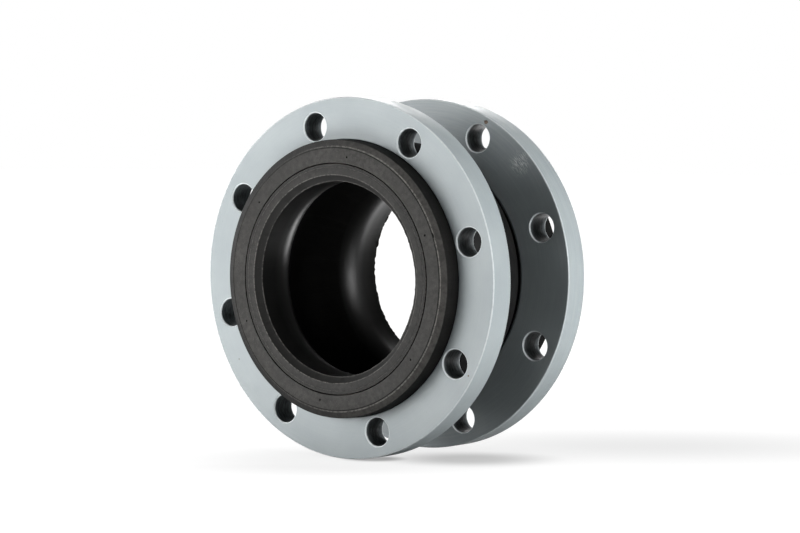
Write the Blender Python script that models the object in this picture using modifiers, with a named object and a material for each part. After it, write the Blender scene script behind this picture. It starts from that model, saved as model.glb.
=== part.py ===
"""Single-arch rubber expansion joint, 150 mm bore, with two loose steel flanges.

Every part is turned about the pipe axis. Sections are drawn in a local frame whose +Z axis is the pipe
axis, pointing out of the front end. The empty "pipe_axis" turns that frame so that the pipe axis lies
along world Y, the front end faces -Y and the joint stands on the rims of its flanges.
A section is a list of (radius, height) points, and height is counted from the mid-plane of the joint.
"""
from math import asin, cos, degrees, radians, sin, sqrt

import bmesh
import bpy

MM = 0.001

# Overall sizes
FACE_TO_FACE = 152.4 * MM
NECK_BORE_R = 75.0 * MM
RUNNING_GAP = 0.3 * MM
RUBBER_STEPS = 24
FLANGE_STEPS = 48

# Loose flanges
FLANGE_OD = 279.4 * MM
FLANGE_THICKNESS = 22.0 * MM
FLANGE_SPACING = 77.8 * MM
BOLT_CIRCLE_R = 120.65 * MM
BOLT_HOLE_R = 11.1 * MM
BOLT_COUNT = 8
HOLE_SIDES = 16
FRONT_HOLE_ANGLE = 14.8
REAR_HOLE_ANGLE = 19.0
LIP_R = 93.0 * MM
RECESS_R = 107.4 * MM
EDGE_BEVEL = 0.8 * MM

# Collar, the moulded end that the pipe flange seals against
COLLAR_R = 107.0 * MM
FACE_R = 101.8 * MM
FACE_BEVEL_HEIGHT = 2.2 * MM
FACE_GROOVE_R = 88.4 * MM
FACE_GROOVE_WIDTH = 0.5 * MM
MOUTH_R = 80.0 * MM
LEAD_IN_R = 75.4 * MM
LEAD_IN_DEPTH = 4.5 * MM
COVER_NECK_R = 91.8 * MM

# Arch wall: a crest arc, then a reverse fillet down to the neck
ARCH_CENTRE_R = 60.5 * MM
FILLET_CENTRE_R = 105.0 * MM
BORE_CREST_R = 97.5 * MM
CARCASS_CREST_R = 99.4 * MM
CARCASS_NECK_R = 78.5 * MM
COVER_CENTRE_R = 47.8 * MM
COVER_ARC_R = 58.7 * MM

# Carcass layers, in distance from the inner face of the first ply
PLY = 0.8 * MM
GUM = 0.6 * MM
CARCASS_THICKNESS = 4 * PLY + GUM + 4 * RUNNING_GAP

# Bead: the wire hoop and the turn that the plies make round it
TURN_CENTRE_R = FACE_GROOVE_R
TURN_CENTRE_Z = 58.0 * MM
BEAD_CENTRE_R = 97.5 * MM
BEAD_TURN_R = 7.7 * MM
BEAD_CENTRE_Z = TURN_CENTRE_Z + TURN_CENTRE_R - CARCASS_NECK_R - BEAD_TURN_R
BEAD_WIRE_R = 4.2 * MM
BEAD_WRAP = 0.8 * MM
WRAP_SLIT_ANGLE = 8.0
UNDER_WRAP_ANGLE = -144.0
HIDDEN_PLY_END_R = 91.2 * MM
CHAFER = 0.8 * MM
SEAT_CENTRE_R = 98.3 * MM
SEAT_CENTRE_Z = 55.0 * MM
SEAT_R = 8.7 * MM
CHAFER_TOP_Z = 58.0 * MM
CHAFER_INNER_R = 93.6 * MM
AROUND_WRAP_R = BEAD_WIRE_R + BEAD_WRAP + 3 * RUNNING_GAP
FILLER_BOTTOM_Z = 50.0 * MM
FILLER_BOTTOM_R = 92.0 * MM

HALF_LENGTH = FACE_TO_FACE / 2
INNER_FACE_Z = FLANGE_SPACING / 2
OUTER_FACE_Z = INNER_FACE_Z + FLANGE_THICKNESS
PLY_PITCH = PLY + RUNNING_GAP
GUM_START = 2 * PLY_PITCH
OUTER_PLY_START = GUM_START + GUM + RUNNING_GAP


def clear_scene():
    for old in list(bpy.data.objects):
        bpy.data.objects.remove(old, do_unlink=True)


def new_collection(name):
    collection = bpy.data.collections.new(name)
    bpy.context.scene.collection.children.link(collection)
    return collection


def material(name, colour, roughness, metallic=0.0):
    finish = bpy.data.materials.new(name)
    finish.use_nodes = True
    shader = finish.node_tree.nodes["Principled BSDF"]
    shader.inputs["Base Color"].default_value = (*colour, 1.0)
    shader.inputs["Roughness"].default_value = roughness
    shader.inputs["Metallic"].default_value = metallic
    return finish


def arc(centre_r, centre_z, radius, angles):
    """Points on a circle in the section plane, at the given angles in degrees from the +radius direction."""
    return [(centre_r + radius * cos(radians(a)), centre_z + radius * sin(radians(a))) for a in angles]


def wall_curve(crest_r, neck_r):
    """Half of one arch surface, from the crest at the mid-plane to the start of the neck."""
    crest_arc = crest_r - ARCH_CENTRE_R
    fillet = FILLET_CENTRE_R - neck_r
    reach = crest_arc + fillet
    fillet_z = sqrt(reach**2 - (FILLET_CENTRE_R - ARCH_CENTRE_R) ** 2)
    flank = degrees(asin(fillet_z / reach))
    crest = arc(ARCH_CENTRE_R, 0.0, crest_arc, (0.0, flank / 2, flank))
    neck = arc(FILLET_CENTRE_R, fillet_z, fillet, (180 + flank / 2, 180.0))
    return crest + neck


def carcass_curve(depth):
    """The surface that lies depth outside the carcass's inner face, from crest to neck."""
    return wall_curve(CARCASS_CREST_R + depth, CARCASS_NECK_R + depth)


def neck_turn(depth):
    """The same surface where it turns outward from the neck, on the sealing face side of the bead."""
    radius = TURN_CENTRE_R - CARCASS_NECK_R - depth
    return arc(TURN_CENTRE_R, TURN_CENTRE_Z, radius, (180.0, 135.0, 90.0))


def bead_turn(depth, last_angle=-90):
    """The same surface where it goes round the bead wire and back under it."""
    angles = range(90, last_angle - 1, -60)
    return arc(BEAD_CENTRE_R, BEAD_CENTRE_Z, BEAD_TURN_R - depth, angles)


def band(near, far):
    """A closed section between two surfaces that both run from the mid-plane outwards, with its mirror half."""
    lower_near = [(r, -z) for r, z in near[:0:-1]]
    lower_far = [(r, -z) for r, z in far[1:]]
    return lower_near + near + far[::-1] + lower_far


def signed_area(section):
    following = section[1:] + section[:1]
    return sum(r0 * z1 - r1 * z0 for (r0, z0), (r1, z1) in zip(section, following)) / 2


def turned(name, section, steps, finish, collection):
    """A closed ring, made by turning the section about local Z."""
    clockwise = section if signed_area(section) < 0 else section[::-1]
    count = len(clockwise)
    mesh = bpy.data.meshes.new(name)
    edges = [(i, (i + 1) % count) for i in range(count)]
    mesh.from_pydata([(r, 0.0, z) for r, z in clockwise], edges, [])
    mesh.materials.append(finish)
    piece = bpy.data.objects.new(name, mesh)
    collection.objects.link(piece)
    screw = piece.modifiers.new("turn", "SCREW")
    screw.axis = "Z"
    screw.angle = radians(360)
    screw.steps = steps
    screw.render_steps = steps
    screw.use_merge_vertices = True
    screw.merge_threshold = 0.00001
    screw.use_smooth_shade = False
    return piece


def place(piece, axis, rear=False, turn=0.0):
    """Parents a piece to the pipe axis; a rear piece is the front one turned end for end."""
    piece.parent = axis
    piece.rotation_euler = (radians(180) if rear else 0.0, 0.0, radians(turn))
    return piece


def flange_section():
    """A plate ring with a rounded groove that holds the bead. Its flats, not its corners, are at the rim."""
    rim = FLANGE_OD / 2 / cos(radians(180 / FLANGE_STEPS))
    lip_round = 1.0 * MM
    seat = arc(SEAT_CENTRE_R, SEAT_CENTRE_Z, RECESS_R - SEAT_CENTRE_R, (0.0, -45.0, -90.0))
    seat_z = seat[-1][1]
    return [
        (rim - EDGE_BEVEL, OUTER_FACE_Z),
        (rim, OUTER_FACE_Z - EDGE_BEVEL),
        (rim, INNER_FACE_Z + EDGE_BEVEL),
        (rim - EDGE_BEVEL, INNER_FACE_Z),
        (LIP_R + lip_round, INNER_FACE_Z),
        (LIP_R, INNER_FACE_Z + lip_round),
        (LIP_R, seat_z),
        *seat[::-1],
        (RECESS_R, OUTER_FACE_Z),
    ]


def hole_cutter(name, first_angle, collection):
    """Eight cylinders on the bolt circle, longer than the flange is thick."""
    shape = bmesh.new()
    for index in range(BOLT_COUNT):
        angle = radians(first_angle + index * 360 / BOLT_COUNT)
        made = bmesh.ops.create_cone(
            shape,
            cap_ends=True,
            segments=HOLE_SIDES,
            radius1=BOLT_HOLE_R,
            radius2=BOLT_HOLE_R,
            depth=FLANGE_THICKNESS * 1.5,
        )
        centre = (BOLT_CIRCLE_R * cos(angle), BOLT_CIRCLE_R * sin(angle), (INNER_FACE_Z + OUTER_FACE_Z) / 2)
        bmesh.ops.translate(shape, verts=made["verts"], vec=centre)
    mesh = bpy.data.meshes.new(name)
    shape.to_mesh(mesh)
    shape.free()
    cutter = bpy.data.objects.new(name, mesh)
    collection.objects.link(cutter)
    cutter.hide_render = True
    cutter.display_type = "WIRE"
    return cutter


def loose_flange(name, hole_angle, rear, finish, parts, cutters, axis):
    """One flange, turned by half a step so that it stands on a flat, with its bolt holes cut."""
    half_step = 180 / FLANGE_STEPS
    flange = turned(name, flange_section(), FLANGE_STEPS, finish, parts)
    place(flange, axis, rear, half_step)
    first_hole = hole_angle - half_step
    cutter = hole_cutter(name + "_holes", -first_hole if rear else first_hole, cutters)
    cutter.parent = flange
    drill = flange.modifiers.new("bolt holes", "BOOLEAN")
    drill.operation = "DIFFERENCE"
    drill.solver = "EXACT"
    drill.object = cutter
    return flange


def inner_tube_section():
    """The liner of the bore, from the groove in one sealing face to the groove in the other."""
    bore = wall_curve(BORE_CREST_R, NECK_BORE_R) + [
        (NECK_BORE_R, HALF_LENGTH - 1.6 * LEAD_IN_DEPTH),
        (LEAD_IN_R, HALF_LENGTH - LEAD_IN_DEPTH),
        (MOUTH_R, HALF_LENGTH),
        (FACE_GROOVE_R, HALF_LENGTH),
    ]
    return band(bore, carcass_curve(-RUNNING_GAP) + neck_turn(-RUNNING_GAP))


def turned_ply_section(depth):
    """A ply that goes round both bead wires."""
    faces = []
    for face in (depth, depth + PLY):
        faces.append(carcass_curve(face) + neck_turn(face) + bead_turn(face))
    return band(*faces)


def cut_layer_section(depth, thickness):
    """A layer that stops beside the bead wires."""
    faces = []
    for face in (depth, depth + thickness):
        turn = neck_turn(face)
        faces.append(carcass_curve(face) + turn + [(HIDDEN_PLY_END_R, turn[-1][1])])
    return band(*faces)


def outer_cover_section():
    """The weather cover, from neck to neck over the arch."""
    flank = degrees(asin(INNER_FACE_Z / COVER_ARC_R))
    end_z = FILLER_BOTTOM_Z - RUNNING_GAP
    outside = arc(COVER_CENTRE_R, 0.0, COVER_ARC_R, (0.0, flank / 2, flank))
    outside += [(COVER_NECK_R, end_z)]
    inside = carcass_curve(CARCASS_THICKNESS + RUNNING_GAP)
    inside += [(inside[-1][0], end_z)]
    return band(inside, outside)


def bead_ring(radius, angles):
    return arc(BEAD_CENTRE_R, BEAD_CENTRE_Z, radius, angles)


def bead_wire_section():
    """A hexagonal bundle of wire, seen as one hoop."""
    return bead_ring(BEAD_WIRE_R, range(90, -270, -60))


def bead_wrap_section():
    """A strip wrapped round the hoop. Its two edges leave a slit on the side of the neck."""
    inner = BEAD_WIRE_R + RUNNING_GAP
    corners = (150, 90, 30, -30, -90, -150)
    angles = (180 - WRAP_SLIT_ANGLE, *corners, -180 + WRAP_SLIT_ANGLE)
    flat_side = cos(radians(30)) / cos(radians(30 - WRAP_SLIT_ANGLE))
    section = []
    for radius, order in ((inner + BEAD_WRAP, angles), (inner, angles[::-1])):
        for angle in order:
            at_slit = angle not in corners
            section += bead_ring(radius * flat_side if at_slit else radius, (angle,))
    return section


def bead_filler_section():
    """A wedge of hard rubber between the neck plies and the wrapped hoop."""
    turn = neck_turn(CARCASS_THICKNESS + RUNNING_GAP)
    return [
        (turn[0][0], FILLER_BOTTOM_Z),
        *turn,
        (HIDDEN_PLY_END_R, turn[-1][1]),
        *bead_ring(AROUND_WRAP_R, (180.0, -150.0)),
        (FILLER_BOTTOM_R, FILLER_BOTTOM_Z),
    ]


def seat_curve(inset):
    """The back of the bead, where it bears in the flange's groove, moved inwards by inset."""
    return [
        (COLLAR_R - inset, CHAFER_TOP_Z + inset),
        *arc(SEAT_CENTRE_R, SEAT_CENTRE_Z, SEAT_R - inset, (0.0, -45.0, -90.0)),
    ]


def chafer_section():
    """A woven strip on the back of the bead."""
    outer = seat_curve(0.0)
    inner = seat_curve(CHAFER)
    inner[0] = (inner[0][0], CHAFER_TOP_Z)
    outer += [(CHAFER_INNER_R, outer[-1][1])]
    inner += [(CHAFER_INNER_R, inner[-1][1])]
    return outer + inner[::-1]


def collar_section():
    """The moulded collar: the outer ring of the sealing face, and the body round the bead."""
    inset = CHAFER + RUNNING_GAP
    seat = seat_curve(inset)
    step_z = CHAFER_TOP_Z + RUNNING_GAP
    seat[0] = (seat[0][0], step_z)
    beside_filler_r = FILLER_BOTTOM_R + RUNNING_GAP
    under_wrap = bead_ring(AROUND_WRAP_R, (UNDER_WRAP_ANGLE,))[0]
    beside_ply_r = BEAD_CENTRE_R - RUNNING_GAP
    round_plies = bead_turn(-RUNNING_GAP)[::-1]
    face_inner_r = FACE_GROOVE_R + FACE_GROOVE_WIDTH
    return [
        (face_inner_r, HALF_LENGTH),
        (FACE_R, HALF_LENGTH),
        (COLLAR_R, HALF_LENGTH - FACE_BEVEL_HEIGHT),
        (COLLAR_R, step_z),
        *seat,
        (beside_filler_r, seat[-1][1]),
        (beside_filler_r, FILLER_BOTTOM_Z),
        under_wrap,
        (beside_ply_r, BEAD_CENTRE_Z - AROUND_WRAP_R + RUNNING_GAP * 2 / 3),
        (beside_ply_r, round_plies[0][1]),
        *round_plies[1:],
        (face_inner_r, round_plies[-1][1]),
    ]


def main():
    clear_scene()
    parts = new_collection("rubber_expansion_joint")
    cutters = new_collection("cutters")
    axis = bpy.data.objects.new("pipe_axis", None)
    parts.objects.link(axis)
    axis.rotation_euler = (radians(90), 0.0, 0.0)

    paint = material("grey flange paint", (0.50, 0.55, 0.57), 0.42, 0.1)
    tube_rubber = material("tube rubber", (0.035, 0.033, 0.031), 0.55)
    cover_rubber = material("cover rubber", (0.022, 0.022, 0.023), 0.6)
    collar_rubber = material("collar rubber", (0.06, 0.056, 0.052), 0.6)
    hard_rubber = material("hard rubber", (0.015, 0.015, 0.016), 0.5)
    gum = material("insulation gum", (0.10, 0.075, 0.05), 0.65)
    cord = material("rubberised cord", (0.16, 0.13, 0.10), 0.75)
    woven = material("chafer fabric", (0.12, 0.11, 0.10), 0.85)
    wire = material("bead wire", (0.55, 0.50, 0.42), 0.35, 1.0)

    loose_flange("front_flange", FRONT_HOLE_ANGLE, False, paint, parts, cutters, axis)
    loose_flange("rear_flange", REAR_HOLE_ANGLE, True, paint, parts, cutters, axis)

    layers = {
        "inner_tube": (inner_tube_section(), tube_rubber),
        "cord_ply_1": (turned_ply_section(0.0), cord),
        "cord_ply_2": (turned_ply_section(PLY_PITCH), cord),
        "insulation_gum": (cut_layer_section(GUM_START, GUM), gum),
        "cord_ply_3": (cut_layer_section(OUTER_PLY_START, PLY), cord),
        "cord_ply_4": (cut_layer_section(OUTER_PLY_START + PLY_PITCH, PLY), cord),
        "outer_cover": (outer_cover_section(), cover_rubber),
    }
    for name, (section, finish) in layers.items():
        place(turned(name, section, RUBBER_STEPS, finish, parts), axis)

    end_parts = {
        "collar": (collar_section(), collar_rubber),
        "bead_wire": (bead_wire_section(), wire),
        "bead_wrap": (bead_wrap_section(), woven),
        "bead_filler": (bead_filler_section(), hard_rubber),
        "chafer": (chafer_section(), woven),
    }
    for name, (section, finish) in end_parts.items():
        for end in ("front", "rear"):
            piece = turned(f"{end}_{name}", section, RUBBER_STEPS, finish, parts)
            place(piece, axis, rear=end == "rear")


main()
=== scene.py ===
"""Looks of the single-arch rubber expansion joint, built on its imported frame.

Frame: +Y is the pipe axis, the front end faces -Y and +Z is up, in metres.
Every piece is turned about the pipe axis. A section is a list of (radius, height) corners, where height
is counted from the mid-plane of the joint towards one end; the front end is at -Y and the rear end at +Y.
"""

import random
from math import cos, pi, radians, sin, sqrt, tan

import bmesh
import bpy
import numpy as np
from mathutils import Matrix, Vector, noise


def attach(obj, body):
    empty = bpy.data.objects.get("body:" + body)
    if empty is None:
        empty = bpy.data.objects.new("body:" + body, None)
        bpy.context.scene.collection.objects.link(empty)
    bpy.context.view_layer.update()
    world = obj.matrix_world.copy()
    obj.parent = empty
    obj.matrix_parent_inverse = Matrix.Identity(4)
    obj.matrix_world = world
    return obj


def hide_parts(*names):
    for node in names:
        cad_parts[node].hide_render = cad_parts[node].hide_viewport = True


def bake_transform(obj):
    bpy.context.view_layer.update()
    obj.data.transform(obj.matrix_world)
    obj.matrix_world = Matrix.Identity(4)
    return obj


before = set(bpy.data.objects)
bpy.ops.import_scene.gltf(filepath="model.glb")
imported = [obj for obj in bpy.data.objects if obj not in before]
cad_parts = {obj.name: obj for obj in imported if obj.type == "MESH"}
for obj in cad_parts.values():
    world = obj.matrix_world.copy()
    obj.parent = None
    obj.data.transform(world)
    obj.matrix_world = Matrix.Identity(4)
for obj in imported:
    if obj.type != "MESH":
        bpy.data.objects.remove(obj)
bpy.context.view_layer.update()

MM = 0.001
FRONT = -1
REAR = 1
ENDS = {"front": FRONT, "rear": REAR}

# Sizes, the same as the frame's
HALF_LENGTH = 76.2 * MM
INNER_FACE = 38.9 * MM
OUTER_FACE = 60.9 * MM
FLANGE_R = 139.7 * MM
BOLT_CIRCLE_R = 120.65 * MM
BOLT_HOLE_R = 11.1 * MM
BOLT_COUNT = 8
HOLE_ANGLE = {"front": 14.8, "rear": 19.0}
LIP_R = 93.0 * MM
RECESS_R = 107.4 * MM
GAP = 0.3 * MM
NECK_BORE_R = 75.0 * MM
BORE_CREST_R = 97.5 * MM
COLLAR_R = 107.0 * MM
FACE_R = 101.8 * MM
FACE_BEVEL = 2.2 * MM
EDGE_LINE_R = 100.8 * MM
EDGE_LINE_HALF = 0.45 * MM
EDGE_LINE_DEPTH = 0.3 * MM
GROOVE_R = 88.4 * MM
GROOVE_WIDTH = 0.8 * MM
LINER_LINE_R = 85.8 * MM
LINER_LINE_HALF = 0.2 * MM
LINER_LINE_DEPTH = 0.18 * MM
MOUTH_R = 80.0 * MM
LEAD_IN_R = 75.4 * MM
LEDGE = HALF_LENGTH - 4.5 * MM
FLASH = 0.7 * MM
COVER_NECK_R = 91.8 * MM
ARCH_CENTRE_R = 60.5 * MM
FILLET_CENTRE_R = 105.0 * MM
CARCASS_CREST_R = 99.4 * MM
CARCASS_NECK_R = 78.5 * MM
COVER_CENTRE_R = 47.8 * MM
COVER_ARC_R = 58.7 * MM
PLY = 0.8 * MM
GUM = 0.6 * MM
TURN_CENTRE = (88.4 * MM, 58.0 * MM)
BEAD_CENTRE = (97.5 * MM, 60.2 * MM)
BEAD_TURN_R = 7.7 * MM
BEAD_WIRE_R = 4.2 * MM
BEAD_WRAP = 0.8 * MM
PLY_END_R = 91.2 * MM
CHAFER = 0.8 * MM
SEAT_CENTRE = (98.3 * MM, 55.0 * MM)
SEAT_R = 8.7 * MM
CHAFER_TOP = 58.0 * MM
CHAFER_INNER_R = 93.6 * MM
FILLER_BOTTOM = (92.0 * MM, 50.0 * MM)
COVER_END = 49.7 * MM
PLY_PITCH = PLY + GAP
GUM_START = 2 * PLY_PITCH
OUTER_PLY_START = GUM_START + GUM + GAP
CARCASS_THICKNESS = 4 * PLY + GUM + 4 * GAP
AROUND_WRAP_R = BEAD_WIRE_R + BEAD_WRAP + 3 * GAP

# Where the wall bends: (body before, body after, first plane, last plane), across the pipe axis
SPANS = (
    ("front_collar", "arch_front", -42.0 * MM, -23.0 * MM),
    ("arch_front", "arch_middle", -23.0 * MM, -3.0 * MM),
    ("arch_middle", "arch_rear", -3.0 * MM, 17.0 * MM),
    ("arch_rear", "rear_collar", 17.0 * MM, 42.0 * MM),
)

# Mesh fineness: steps round the axis, steps along the wall, and the short steps beside roundings and seams
FINE = 256
FLANGE_FINE = 192
HIDDEN = 96
WALL_STEP = 1.5 * MM
HIDDEN_STEP = 3 * MM
GUARD = 0.25 * MM
SEAM_GUARD = 0.1 * MM
SAME = 1e-7
SHARP = radians(30)


def add(name, mesh):
    piece = bpy.data.objects.new(name, mesh)
    bpy.context.scene.collection.objects.link(piece)
    return piece


def add_shape(name, shape):
    """Makes a piece of a bmesh, and frees it."""
    mesh = bpy.data.meshes.new(name)
    shape.to_mesh(mesh)
    shape.free()
    return add(name, mesh)


def arc(centre, radius, first, last, count):
    """Points on a circle in the section plane, angles in degrees from the +radius direction."""
    angles = [radians(first + (last - first) * i / count) for i in range(count + 1)]
    return [(centre[0] + radius * cos(a), centre[1] + radius * sin(a)) for a in angles]


def rounded(corners, steps=4):
    """A section whose corners given as (radius, height, rounding) are turned into small arcs."""
    points = []
    for i, corner in enumerate(corners):
        here = Vector(corner[:2])
        if len(corner) == 2:
            points.append(tuple(here))
            continue
        back = Vector(corners[i - 1][:2]) - here
        ahead = Vector(corners[(i + 1) % len(corners)][:2]) - here
        half = back.angle(ahead) / 2
        reach = corner[2] / tan(half)
        bisector = (back.normalized() + ahead.normalized()).normalized()
        centre = here + bisector * corner[2] / sin(half)
        start = here + back.normalized() * reach - centre
        turn = start.angle_signed(here + ahead.normalized() * reach - centre)
        if back.length > reach + 2 * GUARD:
            points.append(tuple(here + back.normalized() * (reach + GUARD)))
        for k in range(steps + 1):
            spoke = Matrix.Rotation(-turn * k / steps, 2) @ start
            points.append(tuple(centre + spoke))
        if ahead.length > reach + 2 * GUARD:
            points.append(tuple(here + ahead.normalized() * (reach + GUARD)))
    return points


def at_end(section, side):
    """A section counted from the mid-plane, as (radius, y) at the front or rear end."""
    return [(r, side * h) for r, h in section]


def area(section):
    r, y = np.array(section).T
    return float(np.sum(r * np.roll(y, -1) - np.roll(r, -1) * y)) / 2


def turned(name, section, steps, warp=None):
    """A closed ring turned about the pipe axis. warp(radius, angle, y) may shift a point's radius and y."""
    corners = section if area(section) > 0 else section[::-1]
    count = len(corners)
    vertices = []
    for i in range(steps):
        angle = 2 * pi * i / steps
        for r, y in corners:
            if warp:
                r, y = warp(r, angle, y)
            vertices.append((r * cos(angle), y, r * sin(angle)))
    faces = []
    for i in range(steps):
        here, following = i * count, (i + 1) % steps * count
        for j in range(count):
            k = (j + 1) % count
            faces.append((here + j, here + k, following + k, following + j))
    mesh = bpy.data.meshes.new(name)
    mesh.from_pydata(vertices, [], faces)
    return add(name, mesh)


def smooth(piece):
    piece.data.shade_smooth()
    piece.data.set_sharp_from_angle(angle=SHARP)


def keep_rest(piece):
    """Stores each point's place at rest, which the materials read, so that patterns move with the surface."""
    count = len(piece.data.vertices)
    place = np.zeros(count * 3, np.float32)
    piece.data.vertices.foreach_get("co", place)
    rest = piece.data.attributes.new("rest", "FLOAT_VECTOR", "POINT")
    rest.data.foreach_set("vector", place)


def carve(piece, cutters, inside=None):
    """Cuts shapes out of a piece. The cut faces take the finish called inside, or else the piece's own."""
    for cutter in cutters:
        if inside:
            cutter.data.materials.append(inside)
        change = piece.modifiers.new("carve", "BOOLEAN")
        change.operation = "DIFFERENCE"
        change.solver = "EXACT"
        change.material_mode = "TRANSFER" if inside else "INDEX"
        change.object = cutter
    graph = bpy.context.evaluated_depsgraph_get()
    piece.data = bpy.data.meshes.new_from_object(piece.evaluated_get(graph))
    piece.modifiers.clear()
    for cutter in cutters:
        bpy.data.objects.remove(cutter)


# ---------------------------------------------------------------- sections

def wall_radius(surface, y):
    """Radius of an arch surface, given as (crest radius, neck radius), at a distance y from the mid-plane."""
    crest_arc = surface[0] - ARCH_CENTRE_R
    fillet = FILLET_CENTRE_R - surface[1]
    fillet_y = sqrt((crest_arc + fillet) ** 2 - (FILLET_CENTRE_R - ARCH_CENTRE_R) ** 2)
    meet_y = crest_arc * fillet_y / (crest_arc + fillet)
    y = abs(y)
    if y <= meet_y:
        return ARCH_CENTRE_R + sqrt(crest_arc**2 - y**2)
    if y < fillet_y:
        return FILLET_CENTRE_R - sqrt(fillet**2 - (fillet_y - y) ** 2)
    return surface[1]


def cover_radius(y):
    """Radius of the cover's outside, plain in the necks and round over the arch."""
    if abs(y) > INNER_FACE:
        return COVER_NECK_R
    return max(COVER_NECK_R, COVER_CENTRE_R + sqrt(COVER_ARC_R**2 - y**2))


def carcass(depth):
    """The surface at a depth in the plies, as (crest radius, neck radius)."""
    return (CARCASS_CREST_R + depth, CARCASS_NECK_R + depth)


def stations(first, last, step):
    """Evenly spaced planes from first to last, with one more close to each end."""
    count = max(1, round((last - first) / step))
    inner = [first + (last - first) * i / count for i in range(1, count)]
    return [first, first + SEAM_GUARD, *inner, last - SEAM_GUARD, last]


def neck_turn(depth):
    """Where a layer turns outwards from the neck towards the bead."""
    return arc(TURN_CENTRE, TURN_CENTRE[0] - CARCASS_NECK_R - depth, 180, 90, 9)


def bead_turn(depth):
    """Where a ply goes round the bead."""
    return arc(BEAD_CENTRE, BEAD_TURN_R - depth, 90, -90, 14)


def tube_ends():
    """The liner beyond the wall: (bore side, carcass side), from the neck outwards."""
    bore = rounded([
        (NECK_BORE_R, TURN_CENTRE[1]),
        (NECK_BORE_R, LEDGE - 1.4 * MM),
        (NECK_BORE_R, LEDGE - 0.3 * MM),
        (LEAD_IN_R - FLASH, LEDGE),
        (LEAD_IN_R + 0.25 * MM, LEDGE + 0.2 * MM),
        (MOUTH_R, HALF_LENGTH, 0.8 * MM),
        (LINER_LINE_R - LINER_LINE_HALF, HALF_LENGTH, 0.15 * MM),
        (LINER_LINE_R, HALF_LENGTH - LINER_LINE_DEPTH),
        (LINER_LINE_R + LINER_LINE_HALF, HALF_LENGTH, 0.15 * MM),
        (GROOVE_R, HALF_LENGTH, 0.4 * MM),
        (GROOVE_R, HALF_LENGTH - 4 * MM),
    ], 3)
    return bore[1:-1], neck_turn(-GAP)


def turned_ply_ends(depth, thickness):
    """The ends of an inner ply, which goes round the bead and back."""
    return tuple((neck_turn(d) + bead_turn(d))[1:] for d in (depth, depth + thickness))


def cut_ply_ends(depth, thickness):
    """The ends of an outer layer, cut off flat before the bead."""
    faces = []
    for d in (depth, depth + thickness):
        turn = neck_turn(d)
        faces.append(turn[1:] + [(PLY_END_R, turn[-1][1])])
    return tuple(faces)


def ply(depth, ends, finish, thickness=PLY):
    """A layer of the carcass, from depth to depth + thickness outside the carcass's inner surface."""
    near, far = carcass(depth), carcass(depth + thickness)
    return {
        "near": lambda y: wall_radius(near, y), "far": lambda y: wall_radius(far, y),
        "ends": ends(depth, thickness), "finish": finish, "steps": HIDDEN, "step": HIDDEN_STEP,
    }


LAYERS = {
    "inner_tube": {
        "near": lambda y: wall_radius((BORE_CREST_R, NECK_BORE_R), y),
        "far": lambda y: wall_radius(carcass(-GAP), y),
        "ends": tube_ends(), "finish": "tube_rubber", "steps": FINE, "step": WALL_STEP,
    },
    "cord_ply_1": ply(0.0, turned_ply_ends, "cord_right"),
    "cord_ply_2": ply(PLY_PITCH, turned_ply_ends, "cord_left"),
    "insulation_gum": ply(GUM_START, cut_ply_ends, "insulation_gum", GUM),
    "cord_ply_3": ply(OUTER_PLY_START, cut_ply_ends, "cord_left"),
    "cord_ply_4": ply(OUTER_PLY_START + PLY_PITCH, cut_ply_ends, "cord_right"),
    "outer_cover": {
        "near": lambda y: wall_radius(carcass(CARCASS_THICKNESS + GAP), y), "far": cover_radius,
        "ends": ([], []), "finish": "cover_rubber", "steps": FLANGE_FINE, "step": WALL_STEP,
        "wall_end": COVER_END,
    },
}


def span_section(layer, index):
    """One layer's closed section across one span; the outer two spans run on to the ends of the layer."""
    _, _, first, last = SPANS[index]
    end = layer.get("wall_end", TURN_CENTRE[1])
    low = -end if index == 0 else first
    high = end if index == len(SPANS) - 1 else last
    ys = stations(low, high, layer["step"])
    near = [(layer["near"](y), y) for y in ys]
    far = [(layer["far"](y), y) for y in ys]
    bore, back = layer["ends"]
    if index == 0:
        near = at_end(bore[::-1], FRONT) + near
        far = at_end(back[::-1], FRONT) + far
    if index == len(SPANS) - 1:
        near = near + at_end(bore, REAR)
        far = far + at_end(back, REAR)
    section = near + far[::-1]
    return [p for i, p in enumerate(section) if (Vector(p) - Vector(section[i - 1])).length > SAME]


def flange_section():
    """The flange, with the groove that seats the bead."""
    seat_r = RECESS_R - SEAT_CENTRE[0]
    shelf = SEAT_CENTRE[1] - seat_r
    return rounded([
        (RECESS_R, OUTER_FACE, 0.5 * MM),
        (FLANGE_R, OUTER_FACE, 0.9 * MM),
        (FLANGE_R, INNER_FACE, 0.9 * MM),
        (LIP_R, INNER_FACE, 2.8 * MM),
        (LIP_R, shelf, 0.4 * MM),
        *arc(SEAT_CENTRE, seat_r, -90, 0, 10),
    ])


def seat_curve(inset):
    """The seat of the bead in the flange's groove, moved inwards by inset."""
    return [(COLLAR_R - inset, CHAFER_TOP + inset), *arc(SEAT_CENTRE, SEAT_R - inset, 0, -90, 10)]


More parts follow.
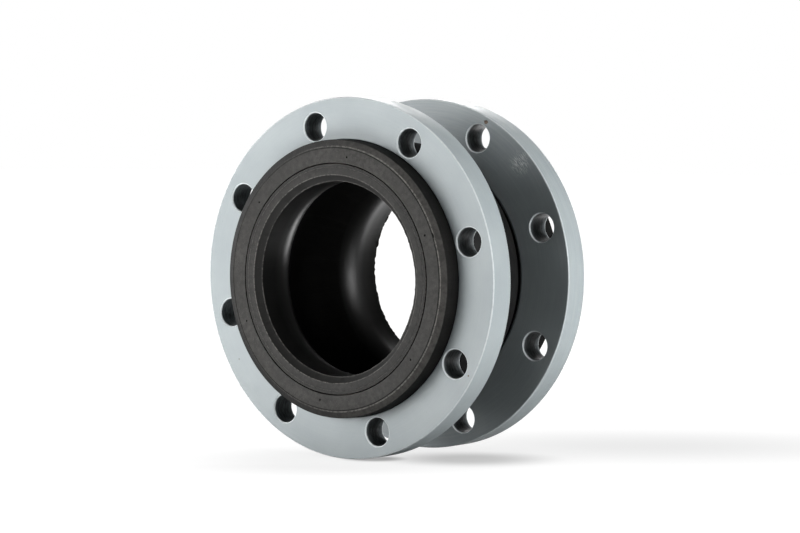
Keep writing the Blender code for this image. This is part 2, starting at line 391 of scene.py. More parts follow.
def collar_section():
    """The moulded collar: face with a shallow line, bevel, seat, and the cavity for plies and bead."""
    inset = CHAFER + GAP
    seat = [(COLLAR_R - inset, CHAFER_TOP + GAP)] + seat_curve(inset)[1:]
    beside_filler = FILLER_BOTTOM[0] + GAP
    beside_ply = BEAD_CENTRE[0] - GAP
    round_plies = arc(BEAD_CENTRE, BEAD_TURN_R + GAP, -90, 90, 14)
    under_wrap = arc(BEAD_CENTRE, AROUND_WRAP_R, -144, -144, 1)[0]
    inner = GROOVE_R + GROOVE_WIDTH
    return rounded([
        (inner, HALF_LENGTH, 0.3 * MM),
        (EDGE_LINE_R - EDGE_LINE_HALF, HALF_LENGTH, 0.1 * MM),
        (EDGE_LINE_R, HALF_LENGTH - EDGE_LINE_DEPTH),
        (EDGE_LINE_R + EDGE_LINE_HALF, HALF_LENGTH, 0.1 * MM),
        (FACE_R, HALF_LENGTH, 0.7 * MM),
        (COLLAR_R, HALF_LENGTH - FACE_BEVEL, 0.8 * MM),
        (COLLAR_R, CHAFER_TOP + GAP),
        *seat,
        (beside_filler, seat[-1][1]),
        (beside_filler, FILLER_BOTTOM[1]),
        under_wrap,
        (beside_ply, BEAD_CENTRE[1] - AROUND_WRAP_R + GAP * 2 / 3),
        (beside_ply, round_plies[0][1]),
        *round_plies[1:],
        (inner, round_plies[-1][1]),
    ])


def chafer_section():
    """The strip between the collar and its seat."""
    outer = seat_curve(0.0)
    inner = seat_curve(CHAFER)
    inner[0] = (inner[0][0], CHAFER_TOP)
    outer.append((CHAFER_INNER_R, outer[-1][1]))
    inner.append((CHAFER_INNER_R, inner[-1][1]))
    return outer + inner[::-1]


def filler_section():
    """The wedge between the turned plies and the bead."""
    turn = neck_turn(CARCASS_THICKNESS + GAP)
    side = [arc(BEAD_CENTRE, AROUND_WRAP_R, a, a, 1)[0] for a in (180, -150)]
    return [(turn[0][0], FILLER_BOTTOM[1]), *turn, (PLY_END_R, turn[-1][1]), *side, FILLER_BOTTOM]


def wrap_section():
    """A strip round the hexagonal bundle, with a slit on the side of the neck."""
    slit = 8
    corners = (150, 90, 30, -30, -90, -150)
    flat = cos(radians(30)) / cos(radians(30 - slit))
    inner = BEAD_WIRE_R + GAP
    section = []
    for radius, order in ((inner + BEAD_WRAP, 1), (inner, -1)):
        for angle in (180 - slit, *corners, slit - 180)[::order]:
            reach = radius if angle in corners else radius * flat
            section += arc(BEAD_CENTRE, reach, angle, angle, 1)[:1]
    return section


def wire_bundle(name, side):
    """Nineteen round wires in a hexagonal bundle, each a hoop."""
    pitch, wire_r, sides = 1.62 * MM, 0.8 * MM, 6
    rows = range(-2, 3)
    parts = bmesh.new()
    for i in rows:
        for j in rows:
            if abs(i + j) > 2:
                continue
            across = pitch * (i + j / 2)
            along = pitch * j * sin(radians(60))
            centre = (BEAD_CENTRE[0] + along, BEAD_CENTRE[1] + across)
            ring = [parts_ring(parts, centre, wire_r, sides, side, k) for k in range(HIDDEN)]
            for k, here in enumerate(ring):
                following = ring[(k + 1) % HIDDEN]
                for m in range(sides):
                    n = (m + 1) % sides
                    parts.faces.new((here[m], here[n], following[n], following[m]))
    bmesh.ops.recalc_face_normals(parts, faces=parts.faces)
    return add_shape(name, parts)


def parts_ring(parts, centre, radius, sides, side, k):
    """The corners of one wire's round section at the step k round the axis."""
    angle = 2 * pi * k / HIDDEN
    points = []
    for m in range(sides):
        turn = 2 * pi * m / sides
        r = centre[0] + radius * cos(turn)
        y = side * (centre[1] + radius * sin(turn))
        points.append(parts.verts.new((r * cos(angle), y, r * sin(angle))))
    return points


# ---------------------------------------------------------------- materials

class Finish:
    """A material built from nodes, with short names for what is used most."""

    def __init__(self, name, **constants):
        self.material = bpy.data.materials.new(name)
        self.material.use_nodes = True
        self.tree = self.material.node_tree
        self.shader = self.tree.nodes["Principled BSDF"]
        for socket, value in constants.items():
            self.shader.inputs[socket.replace("_", " ")].default_value = value
        self.rest = self.node("ShaderNodeAttribute", attribute_name="rest").outputs["Vector"]

    def node(self, kind, sockets=(), **settings):
        made = self.tree.nodes.new(kind)
        for key, value in settings.items():
            setattr(made, key, value)
        for index, value in sockets:
            if isinstance(value, bpy.types.NodeSocket):
                self.tree.links.new(value, made.inputs[index])
            else:
                made.inputs[index].default_value = value
        return made

    def link(self, output, socket):
        self.tree.links.new(output, self.shader.inputs[socket])

    def math(self, operation, a, b=0.0):
        return self.node("ShaderNodeMath", [(0, a), (1, b)], operation=operation).outputs[0]

    def plus(self, a, b):
        return self.math("ADD", a, b)

    def times(self, a, b):
        return self.math("MULTIPLY", a, b)

    def between(self, a, b):
        """The distance between two values."""
        return self.math("ABSOLUTE", self.math("SUBTRACT", a, b))

    def noise(self, vector, scale, detail=4.0, rough=0.6):
        sockets = [("Vector", vector), ("Scale", scale), ("Detail", detail), ("Roughness", rough)]
        return self.node("ShaderNodeTexNoise", sockets).outputs[0]

    def remap(self, value, low, high, to_low=0.0, to_high=1.0):
        sockets = [(0, value), (1, low), (2, high), (3, to_low), (4, to_high)]
        return self.node("ShaderNodeMapRange", sockets, interpolation_type="SMOOTHSTEP").outputs[0]

    def mix(self, share, a, b):
        made = self.node("ShaderNodeMix", data_type="RGBA")
        for index, value in ((0, share), (6, a), (7, b)):
            if isinstance(value, bpy.types.NodeSocket):
                self.tree.links.new(value, made.inputs[index])
            else:
                made.inputs[index].default_value = (*value, 1.0) if index else value
        return made.outputs[2]

    def scaled(self, vector, x, y, z):
        sockets = [(0, vector), (1, (x, y, z))]
        return self.node("ShaderNodeVectorMath", sockets, operation="MULTIPLY").outputs[0]

    def polar(self):
        """(radius, y, cosine, sine) of the point at rest."""
        x, y, z = self.node("ShaderNodeSeparateXYZ", [(0, self.rest)]).outputs
        radius = self.math("SQRT", self.plus(self.times(x, x), self.times(z, z)))
        return radius, y, self.math("DIVIDE", x, radius), self.math("DIVIDE", z, radius)

    def ring(self, across, along):
        """Coordinates for marks left by turning: fine across the section, long round the axis."""
        radius, y, cosine, sine = self.polar()
        step = self.times(self.plus(radius, y), across)
        sockets = [(0, step), (1, self.times(cosine, along)), (2, self.times(sine, along))]
        return self.node("ShaderNodeCombineXYZ", sockets).outputs[0]

    def spokes(self, around):
        """Coordinates for streaks that run along the axis or outwards, fine round the axis."""
        _, _, cosine, sine = self.polar()
        sockets = [(0, self.times(cosine, around)), (1, self.times(sine, around))]
        return self.node("ShaderNodeCombineXYZ", sockets).outputs[0]

    def near(self, place, low, high):
        """1 within low of a place at rest and 0 beyond high."""
        sockets = [(0, self.rest), (1, place)]
        away = self.node("ShaderNodeVectorMath", sockets, operation="DISTANCE").outputs["Value"]
        return self.remap(away, low, high, 1.0, 0.0)

    def bump(self, height, strength, distance):
        sockets = [("Strength", strength), ("Distance", distance), ("Height", height)]
        self.link(self.node("ShaderNodeBump", sockets).outputs[0], "Normal")


def shade(colour, share):
    """A colour made darker, or paler where share is above 1."""
    return tuple(c * share for c in colour)


def paint(name, turning, scuffs=()):
    """Satin grey-blue paint, cloudy, with fine turning marks under it, dust, scuffs, and pale edges that are
    painted highlights along the rims.
    """
    made = Finish(name, Roughness=0.4, Specular_IOR_Level=0.4)
    clouds = made.noise(made.rest, 22.0, 3.0)
    specks = made.noise(made.rest, 900.0, 2.0)
    marks = made.noise(made.ring(900.0, 3.0), 1.0, 2.0)
    colour = made.mix(made.remap(clouds, 0.3, 0.7), (0.245, 0.277, 0.287), (0.270, 0.302, 0.310))
    colour = made.mix(made.remap(specks, 0.66, 0.74, 0.0, 0.35), colour, (0.17, 0.19, 0.20))
    colour = made.mix(made.remap(marks, 0.4, 0.7, 0.0, turning), colour, (0.34, 0.37, 0.38))
    dust = made.noise(made.rest, 2200.0, 1.0)
    colour = made.mix(made.remap(dust, 0.70, 0.76, 0.0, 0.3), colour, (0.50, 0.52, 0.52))
    for place, reach in scuffs:
        lines = made.noise(made.ring(1500.0, 26.0), 1.0, 4.0, 0.7)
        patch = made.times(made.near(place, reach * 0.1, reach), made.remap(lines, 0.47, 0.62))
        colour = made.mix(made.times(patch, 0.95), colour, (0.78, 0.80, 0.80))
    radius, y, _, _ = made.polar()
    height = made.math("ABSOLUTE", y)
    # Painted highlight: pale lines along the rim's rounded edges at both faces, made ragged by noise
    highlight_ragging = made.times(made.noise(made.rest, 300.0, 4.0), 0.7 * MM)
    from_rim = made.math("SUBTRACT", FLANGE_R, radius)
    for face in (OUTER_FACE, INNER_FACE):
        from_edge = made.plus(made.plus(from_rim, made.between(height, face)), highlight_ragging)
        line = made.remap(from_edge, 0.9 * MM, 1.35 * MM, 0.75, 0.0)
        colour = made.mix(line, colour, (0.52, 0.55, 0.56))
    made.link(colour, "Base Color")
    made.link(made.remap(made.noise(made.rest, 60.0, 3.0), 0.3, 0.7, 0.34, 0.46), "Roughness")
    peel = made.noise(made.rest, 420.0, 2.0)
    made.bump(made.plus(peel, made.times(marks, 0.5)), 0.12, 0.0004)
    return made.material


def hole_paint():
    """Streaky paint on the wall of a drilled hole: dark deep in the hole, which is thin paint and painted
    shade, and pale at both mouths with painted highlights.
    """
    made = Finish("hole_paint", Roughness=0.45)
    _, y, _, _ = made.polar()
    from_middle = made.between(made.math("ABSOLUTE", y), (INNER_FACE + OUTER_FACE) / 2)
    streaks = made.noise(made.scaled(made.rest, 160.0, 700.0, 160.0), 1.0, 4.0, 0.7)
    ragged = made.plus(from_middle, made.times(streaks, 2.2 * MM))
    # Painted shade darkens the middle of the hole; painted highlights make both mouths paler than the
    # flange's face
    tone = made.mix(made.remap(streaks, 0.40, 0.62), (0.026, 0.030, 0.032), (0.085, 0.096, 0.098))
    tone = made.mix(made.remap(ragged, 7.0 * MM, 11.0 * MM, 0.0, 0.45), tone, (0.16, 0.18, 0.19))
    made.link(made.mix(made.remap(ragged, 10.7 * MM, 11.3 * MM), tone, (0.62, 0.66, 0.67)), "Base Color")
    made.bump(streaks, 0.25, 0.0004)
    return made.material


def bare_steel():
    """Steel under a chip in the paint, browned with rust."""
    made = Finish("bare_steel", Metallic=0.75, Roughness=0.5)
    tone = made.noise(made.rest, 1500.0, 3.0)
    made.link(made.mix(made.remap(tone, 0.35, 0.65), (0.05, 0.045, 0.04), (0.17, 0.12, 0.09)), "Base Color")
    made.bump(tone, 0.4, 0.0003)
    return made.material


def rubber(name, dark, light, shine, specular=0.5, grain=0.2, face=None):
    """Moulded rubber: mottled tone, turned-mould streaks, fine grain and pale dust specks.

    face is the buffed tone of the sealing face, where the piece has one; its torn flash is paler, and its
    edges are paler with painted highlights.
    """
    made = Finish(name, Roughness=shine, Specular_IOR_Level=specular)
    radius, y, cosine, _ = made.polar()
    height = made.math("ABSOLUTE", y)
    mottle = made.noise(made.rest, 55.0, 6.0, 0.7)
    patches = made.noise(made.rest, 260.0, 5.0, 0.65)
    lines = made.noise(made.ring(700.0, 5.0), 1.0, 3.0)
    grains = made.noise(made.rest, 1100.0, 3.0)
    tone = made.mix(made.remap(mottle, 0.32, 0.68), dark, light)
    tone = made.mix(made.remap(lines, 0.45, 0.75, 0.0, 0.15), tone, shade(light, 1.6))
    rough = made.remap(made.noise(made.rest, 60.0, 3.0), 0.3, 0.7, shine - 0.03, shine + 0.05)
    specks = made.remap(grains, 0.64, 0.72, 0.0, 0.2)
    if face:
        # The buffed face, cloudy and stained, and the streaky mould marks beside it
        top = made.plus(height, made.times(patches, 0.3 * MM))
        on_face = made.remap(top, HALF_LENGTH - 0.15 * MM, HALF_LENGTH + 0.1 * MM)
        buffed = made.mix(made.remap(patches, 0.36, 0.66), shade(face, 0.66), shade(face, 1.3))
        cloudy = made.mix(made.remap(mottle, 0.4, 0.62, 0.0, 0.5), buffed, shade(face, 0.65))
        stain = made.noise(made.rest, 24.0, 3.0)
        cloudy = made.mix(made.remap(stain, 0.42, 0.62, 0.0, 0.4), cloudy, shade(face, 0.6))
        streaks = made.noise(made.spokes(80.0), 1.0, 4.0, 0.7)
        tone = made.mix(made.remap(streaks, 0.52, 0.72, 0.0, 0.4), tone, shade(light, 3.0))
        tone = made.mix(on_face, tone, cloudy)
        # The bevel, painted black as shade on one side of the joint and painted light, up to the face's tone,
        # on the lit side
        foot = HALF_LENGTH - FACE_BEVEL
        on_bevel = made.times(made.remap(height, foot - 0.2 * MM, foot + 0.3 * MM),
                              made.remap(radius, FACE_R - 0.5 * MM, FACE_R))
        lit_side = made.remap(cosine, -0.6, 0.4)
        shaded_bevel = made.mix(made.remap(streaks, 0.45, 0.65), shade(face, 0.1), shade(face, 0.32))
        lit_bevel = made.mix(made.remap(patches, 0.36, 0.66), shade(face, 0.7), shade(face, 1.3))
        tone = made.mix(on_bevel, tone, made.mix(lit_side, shaded_bevel, lit_bevel))
        # Painted shadow in the shallow line at the face's edge, on the lit side only, and the lead-in
        # darkened
        from_line = made.between(radius, EDGE_LINE_R)
        line_shadow = made.times(made.remap(from_line, 0.3 * MM, 0.6 * MM, 0.95, 0.0), on_face)
        tone = made.mix(made.times(line_shadow, lit_side), tone, shade(face, 0.2))
        lead_in = made.times(made.remap(height, LEDGE - 0.3 * MM, LEDGE + 0.5 * MM),
                             made.remap(radius, MOUTH_R + 0.4 * MM, MOUTH_R))
        tone = made.mix(made.times(lead_in, 0.7), tone, shade(face, 0.4))
        # Painted highlights along the face's edges, broken up by noise: (radius, width in mm)
        tear_and_highlight_noise = made.noise(made.rest, 420.0, 4.0, 0.7)
        edges = (
            (FACE_R + 0.1 * MM, 0.7), (GROOVE_R - 0.1 * MM, 0.35),
            (LINER_LINE_R + 0.1 * MM, 0.3), (MOUTH_R, 0.5),
        )
        for edge, width in edges:
            line = made.remap(made.between(radius, edge), 0.15 * MM, width * MM, 1.0, 0.0)
            line = made.times(line, made.remap(height, HALF_LENGTH - 0.8 * MM, HALF_LENGTH - 0.4 * MM))
            line = made.times(line, made.remap(tear_and_highlight_noise, 0.38, 0.58, 0.05, 0.9))
            # The outer edge's painted highlight is strongest on the lit side
            if edge > FACE_R:
                line = made.times(line, made.plus(made.times(lit_side, 0.9), 0.1))
            tone = made.mix(line, tone, shade(face, 4.5))
        # Torn flash at the ledge, dull rubber beyond it, and dust on the face
        torn = made.times(made.remap(radius, LEAD_IN_R, LEAD_IN_R + 0.4 * MM, 1.0, 0.0),
                          made.remap(tear_and_highlight_noise, 0.4, 0.6, 0.1, 0.8))
        torn = made.times(torn, made.remap(made.between(height, LEDGE), 0.3 * MM, 0.6 * MM, 1.0, 0.0))
        tone = made.mix(torn, tone, shade(face, 3.0))
        rough = made.math("MAXIMUM", rough, made.remap(height, LEDGE - 1.2 * MM, LEDGE, 0.0, 0.66))
        specks = made.plus(specks, made.times(on_face, made.remap(grains, 0.60, 0.70, 0.0, 0.35)))
    tone = made.mix(specks, tone, shade(face or light, 3.0))
    if face:
        # Painted shade: the liner's part of the face is darker towards its edge
        darker = made.times(made.remap(radius, MOUTH_R + 2 * MM, MOUTH_R + 7 * MM, 0.0, 0.35), on_face)
        darker = made.times(darker, made.remap(radius, GROOVE_R, GROOVE_R + 0.4 * MM, 1.0, 0.0))
        tone = made.mix(darker, tone, shade(face, 0.3))
    if name == "collar_rubber":
        sheen = made.times(made.math("MAXIMUM", on_bevel, on_face), 0.12)
        made.link(made.plus(sheen, specular), "Specular IOR Level")
    if name == "tube_rubber":
        # Dull inside the arch, less shiny towards both mouths, and rougher and least shiny at the rear
        in_arch = made.times(made.remap(radius, 78 * MM, 82 * MM), made.remap(height, 52 * MM, 48 * MM))
        rough = made.math("MAXIMUM", rough, made.times(in_arch, 0.78))
        rough = made.math("MAXIMUM", rough, made.remap(y, 15 * MM, 30 * MM, 0.0, 0.43))
        sheen = made.math("SUBTRACT", specular, made.times(in_arch, 0.8 * specular))
        sheen = made.times(sheen, made.remap(height, 47 * MM, 58 * MM, 1.0, 0.4))
        sheen = made.times(sheen, made.remap(y, 52 * MM, 68 * MM, 1.0, 0.3))
        made.link(sheen, "Specular IOR Level")
    made.link(tone, "Base Color")
    made.link(rough, "Roughness")
    made.bump(made.plus(grains, made.times(lines, 0.6)), grain, 0.0005)
    return made.material


def cord_fabric(name, tilt):
    """Rubberised cord: close parallel cords laid on the bias, dipped in gum."""
    made = Finish(name, Roughness=0.7)
    _, y, cosine, sine = made.polar()
    across = made.plus(made.times(made.math("ARCTAN2", sine, cosine), 96.0), made.times(y, tilt * 1000.0))
    ridge = made.math("SINE", made.times(across, 6.0))
    tone = made.mix(made.remap(ridge, -1.0, 1.0), (0.10, 0.08, 0.06), (0.22, 0.18, 0.14))
    made.link(tone, "Base Color")
    made.bump(ridge, 0.5, 0.0003)
    return made.material


def woven_fabric():
    """Square-woven strip, its threads round the axis and across the section."""
    made = Finish("woven_fabric", Roughness=0.85)
    radius, y, cosine, sine = made.polar()
    warp_way = made.math("SINE", made.times(made.math("ARCTAN2", sine, cosine), 480.0))
    weft_way = made.math("SINE", made.times(made.plus(radius, y), 5000.0))
    weave = made.times(warp_way, weft_way)
    made.link(made.mix(made.remap(weave, -1.0, 1.0), (0.06, 0.055, 0.05), (0.16, 0.15, 0.14)), "Base Color")
    made.bump(weave, 0.5, 0.0003)
    return made.material


def bead_steel():
    """Drawn wire with a thin bronze coat."""
    made = Finish("bead_steel", Metallic=1.0, Roughness=0.35)
    tone = made.noise(made.ring(2000.0, 20.0), 1.0, 2.0)
    made.link(made.mix(made.remap(tone, 0.3, 0.7), (0.45, 0.36, 0.24), (0.66, 0.58, 0.46)), "Base Color")
    made.bump(tone, 0.1, 0.0002)
    return made.material


SCUFF = (93.5 * MM, INNER_FACE, 89.0 * MM)
SCUFF_REACH = 13 * MM
FINISHES = {
    "front_paint": paint("front_paint", 0.08),
    "rear_paint": paint("rear_paint", 0.3, [(SCUFF, SCUFF_REACH)]),
    "hole_paint": hole_paint(),
    "bare_steel": bare_steel(),
    "collar_rubber": rubber(
        "collar_rubber", (0.0022, 0.0022, 0.0021), (0.0055, 0.0053, 0.005), 0.66, 0.10,
        face=(0.0275, 0.0264, 0.0243),
    ),
    "tube_rubber": rubber(
        "tube_rubber", (0.0030, 0.0030, 0.0030), (0.0055, 0.0054, 0.0052), 0.32, 0.5, 0.03,
        face=(0.0225, 0.0216, 0.020),
    ),
    "cover_rubber": rubber("cover_rubber", (0.003, 0.003, 0.0031), (0.006, 0.006, 0.006), 0.65, 0.12, 0.15),
    "hard_rubber": rubber("hard_rubber", (0.012, 0.012, 0.012), (0.02, 0.02, 0.02), 0.45),
    "insulation_gum": rubber("insulation_gum", (0.08, 0.06, 0.04), (0.12, 0.09, 0.06), 0.6),
    "cord_left": cord_fabric("cord_left", 1.0),
    "cord_right": cord_fabric("cord_right", -1.0),
    "woven_fabric": woven_fabric(),
    "bead_steel": bead_steel(),
}


def dress(piece, finish, *nodes):
    """Finishes a piece's mesh, gives it its material, and hides the CAD nodes it stands for."""
    smooth(piece)
    keep_rest(piece)
    if not piece.data.materials:
        piece.data.materials.append(FINISHES[finish])
    if nodes:
        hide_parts(*nodes)


# ---------------------------------------------------------------- pieces

def on_ring(radius, angle, y):
    return (radius * cos(radians(angle)), y, radius * sin(radians(angle)))


def hole_cutters(end):
    """Eight drills with a countersink at both faces of the flange."""
    side = ENDS[end]
    chamfer, beyond, sides = 0.8 * MM, 3.0 * MM, 48
    rows = (
        (OUTER_FACE + beyond, BOLT_HOLE_R + chamfer + beyond),
        (OUTER_FACE - chamfer, BOLT_HOLE_R),
        (INNER_FACE + chamfer, BOLT_HOLE_R),
        (INNER_FACE - beyond, BOLT_HOLE_R + chamfer + beyond),
    )
    shape = bmesh.new()
    for k in range(BOLT_COUNT):
        centre = Vector(on_ring(BOLT_CIRCLE_R, HOLE_ANGLE[end] + 360 / BOLT_COUNT * k, 0.0))
        rings = []
        for height, radius in rows:
            spokes = [2 * pi * m / sides for m in range(sides)]
            offsets = [Vector((radius * cos(s), side * height, radius * sin(s))) for s in spokes]
            rings.append([shape.verts.new(centre + offset) for offset in offsets])
        for low, high in zip(rings, rings[1:]):
            for m in range(sides):
                n = (m + 1) % sides
                shape.faces.new((low[m], low[n], high[n], high[m]))
        shape.faces.new(rings[0])
        shape.faces.new(rings[-1])
    bmesh.ops.recalc_face_normals(shape, faces=shape.faces)
    return [add_shape("drills", shape)]


def dent(place, size, seed, stretch=(1.0, 1.0, 1.0), turn=0.0):
    """A small lumpy shape that leaves a dent or chip where it is cut away.

    stretch is along the radius, the pipe axis and the rim, at the angle turn in degrees.
    """
    draw = random.Random(seed)
    shape = bmesh.new()
    bmesh.ops.create_icosphere(shape, subdivisions=2, radius=size)
    for vertex in shape.verts:
        vertex.co *= draw.uniform(0.75, 1.15)
    turned_shape = Matrix.Rotation(radians(-turn), 4, "Y") @ Matrix.Diagonal((*stretch, 1.0))
    bmesh.ops.transform(shape, matrix=Matrix.Translation(place) @ turned_shape, verts=shape.verts)
    return add_shape("dent", shape)


# Dents in the rims: (angle in degrees, height, size in mm, stretch round the rim)
DENTS = {
    "front": ((46.0, OUTER_FACE, 0.7, 2.5), (9.0, INNER_FACE, 0.6, 1.5), (143.0, OUTER_FACE, 0.6, 1.2),
              (251.0, OUTER_FACE, 0.7, 2.0), (310.0, INNER_FACE, 0.8, 1.6)),
    "rear": ((71.0, INNER_FACE, 0.9, 4.0), (74.5, INNER_FACE, 0.7, 2.5), (58.6, INNER_FACE, 0.9, 2.2),
             (55.0, INNER_FACE, 0.5, 2.0), (120.0, OUTER_FACE, 0.8, 2.0), (205.0, OUTER_FACE, 0.7, 1.5),
             (330.0, INNER_FACE, 0.6, 2.0)),
}
# Chips to bare steel in the faces: (radius in mm, angle in degrees, size in mm)
CHIPS = {
    "front": ((135.5, -30.5, 0.7), (128.0, 212.0, 0.5)),
    "rear": ((135.6, 63.3, 1.7), (131.0, 158.0, 0.9)),
}
CHIP_SEED = 40


def build_flange(end):
    """The loose flange, drilled, with dents in its rim and chips in one face."""
    side = ENDS[end]
    flange = turned(f"loose_flange_{end}", at_end(flange_section(), side), FLANGE_FINE)
    flange.data.materials.append(FINISHES[f"{end}_paint"])
    carve(flange, hole_cutters(end), FINISHES["hole_paint"])
    cutters = []
    for i, (angle, height, size, along) in enumerate(DENTS[end]):
        place = on_ring(FLANGE_R + 0.1 * MM, angle, side * height)
        cutters.append(dent(place, size * MM, i, (0.8, 1.0, along), angle))
    carve(flange, cutters)
    chips = []
    chipped_face = INNER_FACE if end == "rear" else OUTER_FACE
    for i, (radius, angle, size) in enumerate(CHIPS[end]):
        place = on_ring(radius * MM, angle, side * chipped_face)
        chips.append(dent(place, size * MM, CHIP_SEED + i, (1.0, 0.4, 1.2), angle))
    carve(flange, chips, FINISHES["bare_steel"])
    dress(flange, f"{end}_paint", f"{end}_flange")
    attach(flange, f"{end}_flange")


PIN_CIRCLE_R = 94.3 * MM
PIN_MARK_R = 0.9 * MM
FIRST_PIN = 22.1
PIN_COUNT = 6
PIN_SEED = 70
# Nicks in the collar's two edges: (radius in mm, angle in degrees, size in mm, stretch round the edge)
NICKS = (
    (101.6, 20.6, 0.9, 3.0), (101.9, 151.0, 0.5, 2.0), (101.8, 236.0, 0.6, 2.5), (106.9, 66.0, 0.7, 2.0),
)
NICK_SEED = 90
BEVEL_MIDDLE_R = (FACE_R + COLLAR_R) / 2


def build_collar(end):
    """The collar, slightly uneven, with pin marks in its face and nicks in its edges."""
    side = ENDS[end]

    def wobble(r, angle, y):
        place = Vector((cos(angle) * 3, sin(angle) * 3, r * 60 + side))
        return r + noise.noise(place) * 0.12 * MM, y

    collar = turned(f"bead_collar_{end}", at_end(collar_section(), side), FINE, wobble)
    marks = []
    for k in range(PIN_COUNT):
        place = on_ring(PIN_CIRCLE_R, FIRST_PIN + 360 / PIN_COUNT * k, side * HALF_LENGTH)
        marks.append(dent(place, PIN_MARK_R, PIN_SEED + k))
    for i, (radius, angle, size, along) in enumerate(NICKS):
        height = HALF_LENGTH if radius * MM < BEVEL_MIDDLE_R else HALF_LENGTH - FACE_BEVEL
        place = on_ring(radius * MM, angle, side * height)
        marks.append(dent(place, size * MM, NICK_SEED + i, (0.8, 0.8, along), angle))
    carve(collar, marks)
    dress(collar, "collar_rubber", f"{end}_collar")
    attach(collar, f"{end}_collar")


# How far the flash is torn back at each end, in mm: mean, share of the slow noise, least and most added
TORN = {FRONT: (0.15, 0.5, -0.2, 0.25), REAR: (0.5, 0.8, -0.6, 0.7)}
TORN_SEED = {FRONT: 5, REAR: 3}


def ragged_flash(r, angle, y):
    """Tears the thin flash at the edge of the bore mouth, and leaves everything else as it is."""
    if r > LEAD_IN_R - 0.1 * MM or abs(abs(y) - LEDGE) > 0.05 * MM:
        return r, y
    side = REAR if y > 0 else FRONT
    step = round(angle * FINE / (2 * pi))
    draw = random.Random(step * 7 + TORN_SEED[side])
    patch = noise.noise(Vector((cos(angle) * 4, sin(angle) * 4, y * 40)))
    mean, slow, least, most = TORN[side]
    depth = max(0.05, mean + patch * slow + draw.uniform(least, most))
    return LEAD_IN_R - (0.2 + depth) * MM, y + draw.uniform(-0.1, 0.1) * MM


def build_layer(name, layer):
    """One layer of the wall as four rings, one for each span in SPANS."""
    for index, (before, after, first, last) in enumerate(SPANS):
        warp = ragged_flash if name == "inner_tube" and index in (0, len(SPANS) - 1) else None
        piece = turned(f"{name}_part_{index + 1}", span_section(layer, index), layer["steps"], warp)
        dress(piece, layer["finish"], *([name] if index == 0 else []))
        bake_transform(piece)


def build_bead(end):
    """What the collar holds: wrap, wedge, chafer and the bundle of wires."""
    side = ENDS[end]
    rings = (
        (f"wrap_strip_{end}", wrap_section(), "woven_fabric", f"{end}_bead_wrap"),
        (f"apex_wedge_{end}", filler_section(), "hard_rubber", f"{end}_bead_filler"),
        (f"chafer_strip_{end}", chafer_section(), "woven_fabric", f"{end}_chafer"),
    )
    for name, section, finish, node in rings:
        piece = turned(name, at_end(section, side), HIDDEN)
        dress(piece, finish, node)
        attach(piece, f"{end}_collar")
    wires = wire_bundle(f"wire_bundle_{end}", side)
    dress(wires, "bead_steel", f"{end}_bead_wire")
    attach(wires, f"{end}_collar")


# ---------------------------------------------------------------- studio

# The floor's tone and gloss as the camera sees them, and as they light the object
SEEN_TONE, LIT_TONE = 0.11, 0.10
SEEN_GLOSS, LIT_GLOSS = 0.0, 0.5
FLOOR_SIZE = 20.0
WHITE = (1.0, 1.0, 1.0, 1.0)
# What the camera sees of the floor is lifted to white, less inside soft ellipses of painted shadow that lie
# across the view:
# (centre, half width, half depth, share that is flat, amount)
LIFT = 1.0
ACROSS = radians(37.3)
PAINTED_SHADOWS = (
    ((0.01, -0.06), 0.20, 0.14, 0.20, 0.17),
    ((0.135, 0.160), 0.34, 0.19, 0.00, 0.22),
    ((-0.007, -0.156), 0.14, 0.05, 0.30, 0.03),
    ((0.076, -0.001), 0.08, 0.06, 0.20, 0.3),
    ((0.016, -0.046), 0.03, 0.025, 0.30, 0.45),
)
# Bright spots of the floor, which the camera doesn't see: (x, y), inner and outer radius, radiance
SPOTS = (
    ((-0.04, 0.44), 0.13, 0.20, 4.0),
    ((0.50, 0.10), 0.12, 0.36, 2.2),
    ((-0.18, -0.48), 0.10, 0.45, 5.5),
)


def build_floor():
    """Pale floor, lifted towards white where the camera sees it, less where shadows are painted, with spots
    that light the object.
    """
    shape = bmesh.new()
    bmesh.ops.create_grid(shape, x_segments=1, y_segments=1, size=FLOOR_SIZE)
    floor = add_shape("floor", shape)
    floor.location = (0.0, 0.0, -FLANGE_R)
    made = Finish("pale_floor", Roughness=0.45, Emission_Color=WHITE)
    place = made.node("ShaderNodeTexCoord").outputs["Object"]

    def away(x, y):
        sockets = [(0, place), (1, (x, y, 0.0))]
        return made.node("ShaderNodeVectorMath", sockets, operation="DISTANCE").outputs["Value"]

    seen = LIFT
    for centre, wide, deep, flat, amount in PAINTED_SHADOWS:
        sockets = [(0, place), (1, (*centre, 0.0)), (2, (0.0, 0.0, ACROSS)), (3, (wide, deep, 1.0))]
        local = made.node("ShaderNodeMapping", sockets, vector_type="TEXTURE").outputs[0]
        reach = made.node("ShaderNodeVectorMath", [(0, local)], operation="LENGTH").outputs["Value"]
        seen = made.math("SUBTRACT", seen, made.remap(reach, flat, 1.0, amount, 0.0))
    spots = 0.0
    for centre, inner, outer, radiance in SPOTS:
        spots = made.math("ADD", made.remap(away(*centre), inner, outer, radiance, 0.0), spots)
    seen = made.math("MAXIMUM", seen, 0.0)
    camera_ray = made.node("ShaderNodeLightPath").outputs["Is Camera Ray"]
    lift = made.node("ShaderNodeMix", [(0, camera_ray), (2, spots), (3, seen)], data_type="FLOAT").outputs[0]
    made.link(lift, "Emission Strength")
    gloss = made.node("ShaderNodeMix", [(0, camera_ray), (2, LIT_GLOSS), (3, SEEN_GLOSS)], data_type="FLOAT")
    made.link(gloss.outputs[0], "Specular IOR Level")
    made.link(made.mix(camera_ray, (LIT_TONE,) * 3, (SEEN_TONE,) * 3), "Base Color")
    floor.data.materials.append(made.material)


# Soft lights round the object: (direction, inner and outer angle of the patch in degrees, radiance)
PATCHES = (
    ((-0.50, -0.86, 0.02), 12, 32, 8.0),
    ((-0.95, -0.25, 0.00), 12, 34, 6.5),
    ((1.00, 0.06, 0.02), 8, 28, 22.0),
    ((-0.50, 0.86, 0.09), 8, 28, 7.0),
)
SURROUND = 0.06


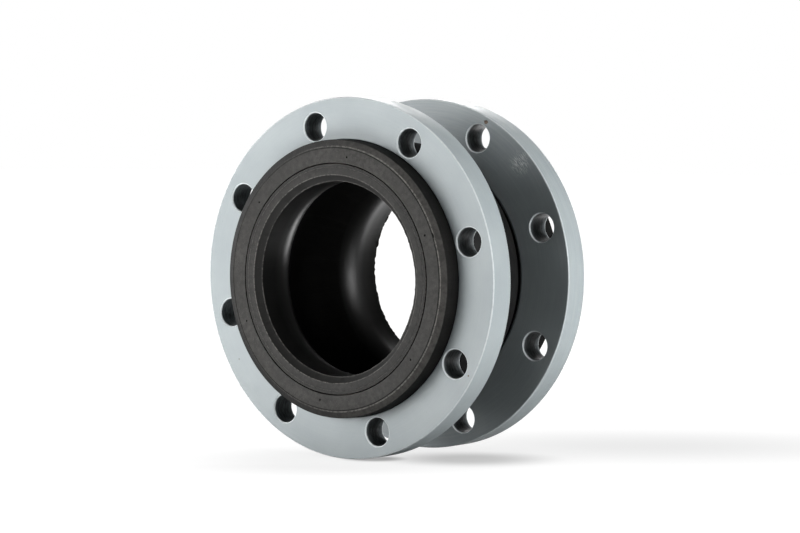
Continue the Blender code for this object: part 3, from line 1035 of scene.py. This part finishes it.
def build_world():
    """White where the camera looks past the object; lit by a few large soft patches."""
    world = bpy.data.worlds.new("studio")
    bpy.context.scene.world = world
    world.use_nodes = True
    tree = world.node_tree
    way = tree.nodes.new("ShaderNodeTexCoord").outputs["Generated"]
    total = None
    for direction, inner, outer, radiance in PATCHES:
        facing = tree.nodes.new("ShaderNodeVectorMath")
        facing.operation = "DOT_PRODUCT"
        tree.links.new(way, facing.inputs[0])
        facing.inputs[1].default_value = Vector(direction).normalized()
        edge = tree.nodes.new("ShaderNodeMapRange")
        edge.interpolation_type = "SMOOTHSTEP"
        tree.links.new(facing.outputs["Value"], edge.inputs[0])
        edge.inputs[1].default_value = cos(radians(outer))
        edge.inputs[2].default_value = cos(radians(inner))
        edge.inputs[4].default_value = radiance
        joined = tree.nodes.new("ShaderNodeMath")
        tree.links.new(edge.outputs[0], joined.inputs[0])
        if total:
            tree.links.new(total, joined.inputs[1])
        else:
            joined.inputs[1].default_value = SURROUND
        total = joined.outputs[0]
    surround = tree.nodes["Background"]
    surround.inputs[0].default_value = WHITE
    tree.links.new(total, surround.inputs[1])
    seen = tree.nodes.new("ShaderNodeBackground")
    seen.inputs[0].default_value = WHITE
    choose = tree.nodes.new("ShaderNodeMixShader")
    path = tree.nodes.new("ShaderNodeLightPath")
    tree.links.new(path.outputs["Is Camera Ray"], choose.inputs[0])
    tree.links.new(surround.outputs[0], choose.inputs[1])
    tree.links.new(seen.outputs[0], choose.inputs[2])
    tree.links.new(choose.outputs[0], tree.nodes["World Output"].inputs[0])


# The view is 37.3 degrees round to the right of the front end and 2.6 degrees above level
AZIMUTH, ELEVATION, ROLL = 37.3266, 2.5941, 0.1581
CAMERA_PLACE = (1.23307, -1.60910, 0.09901)
SENSOR_WIDTH = 36.0
IMAGE_WIDTH = 800
FOCAL_PIXELS = 2571.29


def build_camera():
    azimuth, elevation, roll = radians(AZIMUTH), radians(ELEVATION), radians(ROLL)
    back = Vector((sin(azimuth) * cos(elevation), -cos(azimuth) * cos(elevation), sin(elevation)))
    right = (-back).cross(Vector((0, 0, 1))).normalized()
    up = right.cross(-back)
    right_rolled = right * cos(roll) + up * sin(roll)
    up_rolled = up * cos(roll) - right * sin(roll)
    data = bpy.data.cameras.new("camera")
    data.sensor_width = SENSOR_WIDTH
    data.lens = FOCAL_PIXELS * SENSOR_WIDTH / IMAGE_WIDTH
    data.clip_start, data.clip_end = 0.05, 50.0
    camera = add("camera", data)
    rotation = Matrix((right_rolled, up_rolled, back)).transposed().to_4x4()
    camera.matrix_world = Matrix.Translation(CAMERA_PLACE) @ rotation
    bpy.context.scene.camera = camera


build_camera()
build_floor()
build_world()
for layer_name, wall_layer in LAYERS.items():
    build_layer(layer_name, wall_layer)
for end_name in ENDS:
    build_flange(end_name)
    build_collar(end_name)
    build_bead(end_name)
bpy.context.scene.view_settings.view_transform = "Standard"
